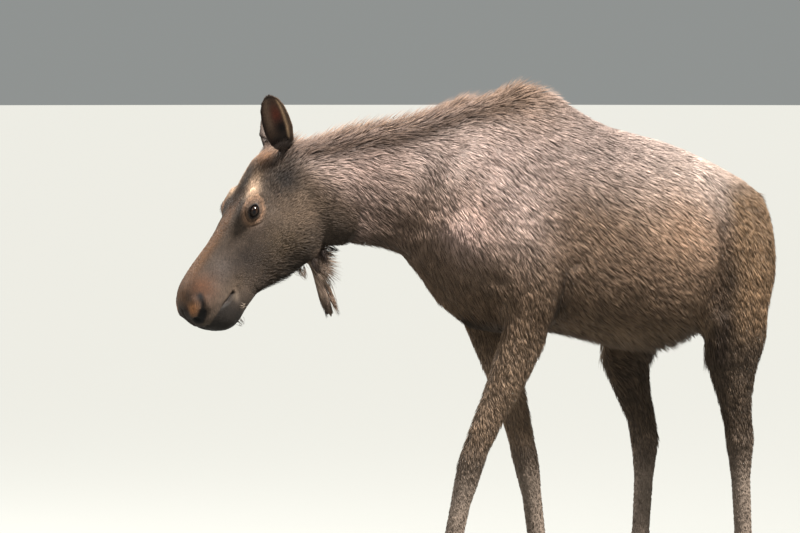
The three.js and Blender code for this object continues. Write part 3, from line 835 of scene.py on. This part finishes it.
def combed(p, r):
    total = np.zeros_like(p)
    for at, way in zip(liePoints, lieWays):
        gap = ((p - at) ** 2).sum(1) + 0.0009
        total += way / (gap ** 1.75)[:, None]
    total = unitRows(total)
    for side in (1, -1):
        base, along, opening = earFrame(side)
        k = (r["ear"] * (p[:, 0] * side > 0))[:, None]
        total = total * (1 - k) + along * k
    return total


def waves(p, size):
    # Slow wander with a period of about the given size, from -1 to 1.
    k = 2 * math.pi / size
    x, y, z = p.T
    return (np.sin(x * k * 1.3 + y * k + 1.7) + np.sin(y * k * 0.7 - z * k * 1.1 + 0.4)
            + np.sin(z * k * 0.9 + x * k * 0.6 + 4.1)) / 3


coatSet = {
    "tufts": 147000, "pieceTufts": 19000, "clumps": 36000, "pull": 0.55, "sink": 0.0010,
    "length": dict(base=0.040, neck=0.042, rump=0.034, upper=0.028, belly=0.050, throat=0.036, mane=0.066,
                   head=0.020, face=0.0095, jaw=0.028, muzzle=0.0036, bell=0.080, tail=0.030, lower=0.013,
                   ear=0.008),
    "width": dict(base=0.0020, upper=0.0021, mane=0.0021, head=0.0014, face=0.0010, jaw=0.0015,
                  muzzle=0.0009, bell=0.0020, lower=0.0018, ear=0.0011),
    "lift": dict(base=0.27, upper=0.27, belly=0.40, throat=0.36, mane=1.1, head=0.24, face=0.20, jaw=0.60,
                 muzzle=0.22, bell=0.05, tail=0.2, lower=0.20, ear=0.08),
    "density": dict(base=2.8, upper=3.0, lower=3.4, mane=4.6, head=5.0, face=8.5, muzzle=7.5, jaw=6.0,
                    bell=9.0, ear=7.0, tail=5.0),
    "lengthSpread": (0.72, 1.25), "widthSpread": (0.8, 1.2), "liftSpread": (0.6, 1.4),
    "toneSpread": (0.8, 1.22), "lockTone": (1, 0.17),
    "swirl": 0.13, "ripple": 0.05, "stray": 0.07, "patch": 0.0015,
}


def coatRegions(p):
    r = regions(p)
    r["neck"] = hump((r["y"], -0.55, 0.2)) * (1 - r["head"])
    r["rump"] = smooth(r["y"], 0.45, 0.7) * (r["z"] > 1.0)
    return r


def tuftPiece(name, root, normal, way, length, width, thick, lift, pull, hue, soft, uv, stations):
    # Each tuft is a closed three-sided blade that narrows to a point and lies back along its way.
    count = len(root)
    side = unitRows(np.cross(normal, way), 1e-9)
    rings = len(stations)
    each = rings * 3 + 1
    points = np.empty((count, each, 3))
    rootShadeTipLight = np.empty((count, each))
    patch = np.empty((each, 2))
    spread = coatSet["patch"]
    for k, (f, wide, shade) in enumerate(stations):
        along = way * (length * f)[:, None]
        rise = normal * (length * lift * (f - 0.45 * f * f) - coatSet["sink"] * (1 - f))[:, None]
        centre = root + along + rise + pull * f * f
        half = side * (width * wide / 2)[:, None]
        points[:, k * 3] = centre - half
        points[:, k * 3 + 1] = centre + half
        points[:, k * 3 + 2] = centre + normal * (thick * (0.6 + 0.4 * wide))[:, None]
        # Each ring is darkened toward the root as painted shade under the coat; soft lessens it.
        rootShadeTipLight[:, k * 3:k * 3 + 3] = (shade + (1 - shade) * soft)[:, None]
        for corner, u in enumerate((-spread, spread, 0)):
            patch[k * 3 + corner] = (u, -spread + 2 * spread * f)
    points[:, -1] = root + way * length[:, None] + normal * (length * lift * 0.55)[:, None] + pull
    # The tip is made lighter as a painted highlight.
    rootShadeTipLight[:, -1] = 1.12 - 0.10 * soft
    patch[-1] = (0, spread)
    faces = [(0, 2, 1)]
    for k in range(rings - 1):
        a, b = k * 3, k * 3 + 3
        for i, j in ((0, 1), (1, 2), (2, 0)):
            faces += [(a + i, a + j, b + j), (a + i, b + j, b + i)]
    a = (rings - 1) * 3
    for i, j in ((0, 1), (1, 2), (2, 0)):
        faces.append((a + i, a + j, each - 1))
    faces = np.array(faces, np.int32)
    allFaces = (faces[None] + (np.arange(count) * each)[:, None, None]).reshape(-1, 3)
    mesh = bpy.data.meshes.new(name)
    mesh.vertices.add(count * each)
    mesh.vertices.foreach_set("co", points.astype(np.float32).ravel())
    mesh.loops.add(allFaces.size)
    mesh.loops.foreach_set("vertex_index", allFaces.ravel())
    mesh.polygons.add(len(allFaces))
    mesh.polygons.foreach_set("loop_start", np.arange(0, allFaces.size, 3, dtype=np.int32))
    mesh.polygons.foreach_set("use_smooth", np.ones(len(allFaces), bool))
    mesh.update(calc_edges=True)
    layer = mesh.uv_layers.new(name="OFBake")
    spots = (uv[:, None] + patch[None]).reshape(-1, 2)
    layer.data.foreach_set("uv", spots[allFaces.ravel()].astype(np.float32).ravel())
    setHue(mesh, (hue[:, None] * rootShadeTipLight[:, :, None]).reshape(-1, 3))
    obj = newObject(name, mesh)
    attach(obj, "root")
    obj["looks"] = "coat"
    return obj


def treeOf(points):
    tree = KDTree(len(points))
    for k, at in enumerate(points):
        tree.insert(at, k)
    tree.balance()
    return tree


uvLoops = np.empty(len(skinMesh.loops) * 2)
skinMesh.uv_layers["OFBake"].data.foreach_get("uv", uvLoops)
uvLoops = uvLoops.reshape(-1, 2)
triLoops = np.empty(len(skinMesh.loop_triangles) * 3, np.int32)
skinMesh.loop_triangles.foreach_get("loops", triLoops)
triUv = uvLoops[triLoops].reshape(-1, 3, 2)
middle = co[tri].mean(1)
area = np.linalg.norm(np.cross(co[tri[:, 1]] - co[tri[:, 0]], co[tri[:, 2]] - co[tri[:, 0]]), axis=1) / 2
rc = coatRegions(middle)
chance = area * blendUp(rc, **coatSet["density"])
bareSet = {"lids": 1.3, "nostril": 0.0100, "mouth": 0.0055, "opening": 0.0150, "floor": 0.074}
bare = (lidGap(middle) < bareSet["lids"]) | (nostrilGap(middle) < bareSet["nostril"])
bare |= (mouthGap(middle) < bareSet["mouth"]) | (openingGap(middle) < bareSet["opening"])
chance = np.where(bare | (middle[:, 2] < bareSet["floor"]), 0, chance)
print("skin area", round(float(area.sum()), 2))
wanted = coatSet["tufts"]
steps = np.cumsum(chance) / chance.sum()
pick = np.minimum(np.searchsorted(steps, (np.arange(wanted) + rng.random(wanted)) / wanted), len(tri) - 1)
u, v = rng.random(wanted), rng.random(wanted)
flip = u + v > 1
u, v = np.where(flip, 1 - u, u), np.where(flip, 1 - v, v)
share = np.stack([1 - u - v, u, v], 1)
vertexN = vertexNormals(co, tri)
root = (co[tri[pick]] * share[:, :, None]).sum(1)
normal = unitRows((vertexN[tri[pick]] * share[:, :, None]).sum(1), 1e-9)
uv = np.clip((triUv[pick] * share[:, :, None]).sum(1), 0.002, 0.998)
r = coatRegions(root)
way = combed(root, r)
side = unitRows(np.cross(normal, way), 1e-9)
calm = 1 - 0.75 * r["head"]
swirl = coatSet["swirl"] * waves(root, 0.21) + coatSet["ripple"] * waves(root[:, [1, 2, 0]], 0.07)
swirl = (swirl + rng.normal(0, coatSet["stray"], wanted) * (1 + 2 * r["mane"])) * calm
flatWay = np.cross(side, normal)
way = unitRows(flatWay * np.cos(swirl)[:, None] + side * np.sin(swirl)[:, None])
length = blendUp(r, **coatSet["length"]) * rng.uniform(*coatSet["lengthSpread"], wanted)
length = np.where(r["bell"] > 0.35, np.minimum(length, np.maximum((r["z"] - 1.030) * 1.05, 0.012)), length)
width = blendUp(r, **coatSet["width"]) * rng.uniform(*coatSet["widthSpread"], wanted)
lift = blendUp(r, **coatSet["lift"]) * rng.uniform(*coatSet["liftSpread"], wanted)
thick = np.maximum(width * 0.32, 0.00055)

# Neighbouring tufts lean together into locks.
clumpAt = rng.choice(wanted, min(coatSet["clumps"], wanted // 5), replace=False)
tree = treeOf(root[clumpAt])
owner = clumpAt[np.array([tree.find(at)[1] for at in root])]
ownTip = root[owner] + way[owner] * length[owner][:, None]
pull = (ownTip - root - way * length[:, None]) * (coatSet["pull"] * (1 - 0.6 * r["head"]))[:, None]
pull = pull - normal * np.minimum((pull * normal).sum(1), 0)[:, None]
most = length * blendUp(r, 0.5, bell=0.12)
pull = pull * np.minimum(1, most / np.maximum(np.linalg.norm(pull, axis=1), 1e-6))[:, None]
pull[:, 2] -= length * np.clip(r["belly"] + r["jaw"] * 0.6 + r["throat"] * 0.4, 0, 1) * 0.35
clumpTone = np.clip(rng.normal(*coatSet["lockTone"], wanted), 0.6, 1.5)[owner]
hue = markingsAndPaintedLight(root, normal) * (clumpTone * rng.uniform(*coatSet["toneSpread"], wanted))[:, None]
pale = smooth(waves(root, 0.3) + rng.normal(0, 0.5, wanted), 0.4, 1.4) * (1 - r["head"]) * (1 - r["lower"])
hue = hue * (0.93 + 0.20 * pale)[:, None]
# Some upright mane hairs are made pale: a painted highlight of light from behind on the crest.
maneTipHighlight = r["mane"][:, None] * (rng.random(wanted)[:, None] > 0.78) * 0.6
hue = hue * (1 - maneTipHighlight) + linear((150, 122, 100)) * maneTipHighlight

# A station holds its share of the length, its share of the width and its shade. That shade is painted: the
# roots darker as painted shade under the coat, the tips lighter as a painted highlight; soft lessens both on
# the head, legs and ears.
soft = blendUp(r, 0.0, head=0.25, face=0.65, muzzle=0.9, upper=0.15, lower=0.75, ear=0.7)
tuftStations = [(0.0, 0.9, 0.58), (0.42, 1.0, 0.98)]
wispStations = [(0.0, 0.9, 0.8), (0.35, 1.0, 1.0), (0.7, 0.75, 1.0)]
groups = {"coatHead": (r["head"] > 0.5) | (r["ear"] > 0.5), "coatLegs": r["z"] < 0.86}
groups["coatBody"] = ~(groups["coatHead"] | groups["coatLegs"])
tuftRows = (root, normal, way, length, width, thick, lift, pull, hue, soft, uv)
for word, mask in groups.items():
    which = np.nonzero(mask)[0]
    which = which[np.argsort(root[which, 1], kind="stable")]
    parts = max(1, math.ceil(len(which) / coatSet["pieceTufts"]))
    for k, some in enumerate(np.array_split(which, parts)):
        rows = [values[some] for values in tuftRows]
        tuftPiece(word + "_" + str(k + 1), *rows, tuftStations)

# Loose wisps: the ends of the bell, a curl behind the throat, hairs under the jaw, lashes and whiskers.
# Each row holds a root, a way, a length, how many hairs, how far apart they start, their width and a colour.
dark, brown, white = (40, 31, 26), (88, 72, 60), (132, 118, 104)
wisps = [
    (bodyPoint(0.0, -0.668, 1.08), (0, 0.16, -1.0), 0.062, 44, 0.009, 0.0014, dark),
    (bodyPoint(0.004, -0.656, 1.088), (0, 0.62, -1.0), 0.07, 40, 0.008, 0.0014, brown),
    (bodyPoint(-0.004, -0.664, 1.13), (0, 0.55, -1.0), 0.09, 34, 0.012, 0.0014, brown),
    (bodyPoint(0.006, -0.69, 1.232), (0, 0.9, -0.42), 0.06, 40, 0.012, 0.0013, dark),
    (bodyPoint(-0.008, -0.655, 1.236), (0, 0.92, -0.25), 0.045, 24, 0.012, 0.0013, dark),
    (headPoint(0.03, 0.17, -0.2), (0, 0.35, -1.0), 0.05, 40, 0.016, 0.0013, dark),
    (headPoint(0.034, 0.215, -0.186), (0, 0.45, -1.0), 0.045, 40, 0.016, 0.0013, dark),
    (headPoint(0.024, 0.255, -0.168), (0, 0.55, -1.0), 0.038, 30, 0.015, 0.0012, brown),
    (headPoint(-0.03, 0.19, -0.194), (0, 0.4, -1.0), 0.048, 50, 0.02, 0.0013, dark),
    (headPoint(-0.026, 0.24, -0.172), (0, 0.5, -1.0), 0.04, 40, 0.018, 0.0012, brown),
    (headPoint(0.03, 0.5, -0.06), (0.3, 0.75, -0.8), 0.022, 26, 0.018, 0.0009, dark),
    (headPoint(-0.03, 0.5, -0.06), (-0.3, 0.75, -0.8), 0.022, 26, 0.018, 0.0009, dark),
    (headPoint(0.06, 0.462, -0.028), (0.35, 0.85, -0.3), 0.016, 16, 0.014, 0.0008, white),
    (headPoint(-0.06, 0.462, -0.028), (-0.35, 0.85, -0.3), 0.016, 16, 0.014, 0.0008, white),
]
for side in (1, -1):
    centre, out, level, high = eyeAxes(side)
    for k in range(17):
        angle = math.radians(18 + k * 9)
        a = math.cos(angle) * lidSet["halfLong"] * 0.98
        b = math.sin(angle) * lidSet["halfHigh"] * 1.02
        spot = centre + level * a + high * b + out * (math.sqrt(lidSet["over"] ** 2 - a * a - b * b))
        wisps.append((spot, out * 0.9 + high * 0.25 + level * a * 18, 0.011, 4, 0.0012, 0.0007, (20, 15, 13)))
wispRows = []
for at, towards, long, many, spread, wide, rgb in wisps:
    towards = unit(np.asarray(towards, float))
    off = rng.normal(0, spread * 0.5, (many, 3))
    grown = long * rng.uniform(0.6, 1.08, many)
    grownWay = np.tile(towards, (many, 1)) + rng.normal(0, 0.05, (many, 3))
    tint = linear(rgb) * rng.uniform(0.7, 1.3, many)[:, None]
    wispRows.append((at + off, grownWay, grown, np.full(many, wide), tint, -off * 0.75))
rootW, wayW, lengthW, widthW, hueW, endW = (np.concatenate(rows) for rows in zip(*wispRows))
wayW = unitRows(wayW)
aside = unitRows(np.cross(wayW, np.array([0.0, 0.0, 1.0]) + wayW[:, [1, 2, 0]] * 0.3))
skinTree = treeOf(middle)
uvW = np.array([triUv[skinTree.find(at)[1]].mean(0) for at in rootW])
uvW = np.clip(uvW, 0.002, 0.998)
thickW, liftW, softW = np.maximum(widthW * 0.5, 0.0006), np.full(len(rootW), 0.10), np.zeros(len(rootW))
tuftPiece("coatWisps", rootW, aside, wayW, lengthW, widthW, thickW, liftW, endW, hueW, softW, uvW,
          wispStations)
print("coat made", wanted, "wisps", len(rootW))


# Materials.
def setInputs(node, inputs):
    for key, value in inputs.items():
        node.inputs[key].default_value = value


def nodeOf(tree, kind, at, inputs=None, **values):
    node = tree.nodes.new(kind)
    node.location = at
    for key, value in values.items():
        setattr(node, key, value)
    setInputs(node, inputs or {})
    return node


def wire(tree, *rows):
    # A row holds a node, its output, the node that takes it and the input there.
    for source, output, target, socket in rows:
        tree.links.new(source.outputs[output], target.inputs[socket])


def newMaterial(name, inputs):
    material = bpy.data.materials.new(name)
    material.use_nodes = True
    shader = material.node_tree.nodes["Principled BSDF"]
    setInputs(shader, inputs)
    return material, material.node_tree, shader


def addBump(tree, source, output, shader, at, inputs):
    raised = nodeOf(tree, "ShaderNodeBump", at, inputs)
    wire(tree, (source, output, raised, "Height"), (raised, "Normal", shader, "Normal"))


def grainGroup():
    # Fine strokes along the hair and blotches, for the colour and for the bump.
    group = bpy.data.node_groups.new("hairGrain", "ShaderNodeTree")
    for word, way, kind in (("Colour", "INPUT", "Color"), ("Depth", "INPUT", "Float"),
                            ("Blotch", "INPUT", "Float"), ("Colour", "OUTPUT", "Color"),
                            ("Height", "OUTPUT", "Float")):
        group.interface.new_socket(word, in_out=way, socket_type="NodeSocket" + kind)
    start = nodeOf(group, "NodeGroupInput", (-1100, 0))
    end = nodeOf(group, "NodeGroupOutput", (700, 0))
    coords = nodeOf(group, "ShaderNodeTexCoord", (-1100, -240))
    turn = nodeOf(group, "ShaderNodeMapping", (-900, -240),
                  {"Rotation": (math.radians(32), 0, 0), "Scale": (420, 420, 62)})
    stroke = nodeOf(group, "ShaderNodeTexNoise", (-680, -240), {"Scale": 1, "Detail": 2})
    blotch = nodeOf(group, "ShaderNodeTexNoise", (-680, -520), {"Scale": 22, "Detail": 3})
    times = nodeOf(group, "ShaderNodeMath", (-100, -340), operation="MULTIPLY")
    tint = nodeOf(group, "ShaderNodeVectorMath", (300, 0), operation="SCALE")
    for k, (noise, word) in enumerate(((stroke, "Depth"), (blotch, "Blotch"))):
        less = nodeOf(group, "ShaderNodeMath", (-640, 200 + 320 * k), {0: 1}, operation="SUBTRACT")
        more = nodeOf(group, "ShaderNodeMath", (-640, 360 + 320 * k), {0: 1}, operation="ADD")
        spread = nodeOf(group, "ShaderNodeMapRange", (-440, -240 - 280 * k),
                        {"From Min": 0.32, "From Max": 0.68})
        wire(group, (start, word, less, 1), (start, word, more, 1), (noise, "Fac", spread, "Value"),
             (less, 0, spread, "To Min"), (more, 0, spread, "To Max"), (spread, "Result", times, k))
    wire(group, (coords, "Object", turn, "Vector"), (turn, "Vector", stroke, "Vector"),
         (coords, "Object", blotch, "Vector"), (start, "Colour", tint, 0), (times, 0, tint, "Scale"),
         (tint, "Vector", end, "Colour"), (stroke, "Fac", end, "Height"))
    return group


grain = grainGroup()


def hairMaterial(name, inputs, amounts):
    material, tree, shader = newMaterial(name, inputs)
    attr = nodeOf(tree, "ShaderNodeAttribute", (-700, 200), attribute_name="hue")
    use = nodeOf(tree, "ShaderNodeGroup", (-450, 200), amounts, node_tree=grain)
    wire(tree, (attr, "Color", use, "Colour"), (use, "Colour", shader, "Base Color"))
    return material, tree, shader, use


coatMaterial = hairMaterial("coat", {"Roughness": 0.58, "Specular IOR Level": 0.14},
                            {"Depth": 0.10, "Blotch": 0.10})[0]
skinMaterial, tree, shader, use = hairMaterial("hide", {"Specular IOR Level": 0.16},
                                               {"Depth": 0.34, "Blotch": 0.12})
addBump(tree, use, "Height", shader, (-220, -200), {"Strength": 0.7, "Distance": 0.0012})
wetNode = nodeOf(tree, "ShaderNodeAttribute", (-450, -420), attribute_name="wet")
wetMap = nodeOf(tree, "ShaderNodeMapRange", (-220, -420), {"To Min": 0.72, "To Max": 0.30})
wire(tree, (wetNode, "Fac", wetMap, "Value"), (wetMap, "Result", shader, "Roughness"))


def eyeMaterial():
    material, tree, shader = newMaterial("eye", {"Roughness": 0.05, "Specular IOR Level": 0.16})
    gaze = nodeOf(tree, "ShaderNodeAttribute", (-1100, 0), attribute_name="gaze")

    def ringOf(half, low, high, y):
        scale = (1 / half[0], 1 / half[1], 0)
        scaled = nodeOf(tree, "ShaderNodeVectorMath", (-880, y), {1: scale}, operation="MULTIPLY")
        far = nodeOf(tree, "ShaderNodeVectorMath", (-700, y), operation="LENGTH")
        mapped = nodeOf(tree, "ShaderNodeMapRange", (-520, y), {"From Min": low, "From Max": high})
        wire(tree, (gaze, "Vector", scaled, 0), (scaled, "Vector", far, 0), (far, "Value", mapped, "Value"))
        return mapped

    def blend(mask, inside, outside, at):
        # Each side is a colour or the mix that gives it.
        mix = nodeOf(tree, "ShaderNodeMix", at, data_type="RGBA")
        wire(tree, (mask, "Result", mix, "Factor"))
        for socket, value in ((6, inside), (7, outside)):
            if isinstance(value, tuple):
                mix.inputs[socket].default_value = (*value, 1)
            else:
                wire(tree, (value, 2, mix, socket))
        return mix

    iris = blend(ringOf(eyeSet["iris"], 0.5, 1.0, 200), (0.016, 0.008, 0.0045), (0.008, 0.0045, 0.003),
                 (-300, 200))
    ball = blend(ringOf(eyeSet["irisEdge"], 0.96, 1.06, 0), iris, (0.018, 0.013, 0.011), (-100, 100))
    seen = blend(ringOf(eyeSet["pupil"], 0.92, 1.06, -200), (0.002, 0.002, 0.003), ball, (100, 0))
    wire(tree, (seen, 2, shader, "Base Color"))
    return material


def hoofMaterial():
    material, tree, shader = newMaterial("hoof", {"Roughness": 0.42, "Specular IOR Level": 0.3})
    coords = nodeOf(tree, "ShaderNodeTexCoord", (-1100, 0))
    total = nodeOf(tree, "ShaderNodeMath", (-480, 0), operation="MULTIPLY")
    for k, scale in enumerate(((14, 14, 120), (190, 190, 9))):
        mapping = nodeOf(tree, "ShaderNodeMapping", (-900, 100 - 300 * k), {"Scale": scale})
        noise = nodeOf(tree, "ShaderNodeTexNoise", (-700, 100 - 300 * k), {"Scale": 1})
        wire(tree, (coords, "Object", mapping, "Vector"), (mapping, "Vector", noise, "Vector"),
             (noise, "Fac", total, k))
    ramp = nodeOf(tree, "ShaderNodeValToRGB", (-300, 100))
    for stop, at, colour in zip(ramp.color_ramp.elements, (0.12, 0.42),
                                ((0.014, 0.011, 0.009, 1), (0.043, 0.034, 0.027, 1))):
        stop.position = at
        stop.color = colour
    wire(tree, (total, 0, ramp, "Fac"), (ramp, "Color", shader, "Base Color"))
    addBump(tree, total, 0, shader, (-220, -250), {"Strength": 0.4, "Distance": 0.0008})
    return material


looks = {"coat": coatMaterial, "eye": eyeMaterial(), "hoof": hoofMaterial()}
skinMesh.materials.append(skinMaterial)
for obj in list(scene.collection.objects):
    if "looks" in obj:
        obj.data.materials.append(looks[obj["looks"]])
        del obj["looks"]
print("materials made")

# Floor, lights and camera.
bm = bmesh.new()
bmesh.ops.create_circle(bm, cap_ends=True, segments=96, radius=70)
floorMesh = meshFrom(bm, "floor")
floorObject = newObject("floor", floorMesh)
floorLook = {"Roughness": 0.95, "Base Color": (0.15, 0.153, 0.145, 1)}
floorMesh.materials.append(newMaterial("floor", floorLook)[0])
floorObject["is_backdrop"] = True


def newLight(name, kind, at, target, **values):
    data = bpy.data.lights.new(name, kind)
    for key, value in values.items():
        setattr(data, key, value)
    light = newObject(name, data)
    light.location = at
    light.rotation_euler = (Vector(target) - Vector(at)).to_track_quat("-Z", "Y").to_euler()


newLight("key", "SUN", (0, 0, 0), (-0.45, -0.35, -0.82), energy=18.5, angle=math.radians(11),
         color=(1.0, 0.97, 0.93))
newLight("fill", "AREA", (4.6, -6.2, 6.0), (0, 0, 1.0), shape="DISK", size=3.2, energy=330,
         color=(0.95, 0.97, 1.0))
newLight("rim", "AREA", (-3.2, -2.6, 4.2), (0, -0.3, 1.3), shape="DISK", size=1.6, energy=420,
         color=(1.0, 0.98, 0.95))
world = bpy.data.worlds.new("studio")
world.use_nodes = True
setInputs(world.node_tree.nodes["Background"], {"Color": (0.82, 0.86, 0.84, 1), "Strength": 0.34})
scene.world = world

viewSet = {"azimuth": math.radians(62), "elevation": math.radians(3), "distance": 18, "lens": 256,
           "sensor": 36, "height": 1.25, "aside": 0.357, "below": 0.087}
az, el = viewSet["azimuth"], viewSet["elevation"]
right = Vector((math.cos(az), math.sin(az), 0))
back = Vector((math.sin(az) * math.cos(el), -math.cos(az) * math.cos(el), math.sin(el)))
above = back.cross(right)
aim = Vector((0, shift, viewSet["height"])) - right * viewSet["aside"] - above * viewSet["below"]
cameraData = bpy.data.cameras.new("camera")
cameraData.lens = viewSet["lens"]
cameraData.sensor_width = viewSet["sensor"]
cameraData.clip_end = 200
camera = newObject("camera", cameraData)
camera.location = aim + back * viewSet["distance"]
camera.rotation_euler = (-back).to_track_quat("-Z", "Y").to_euler()
scene.camera = camera
scene.view_settings.view_transform = "Standard"

low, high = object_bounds()
print("size", [round(v, 3) for v in high - low])
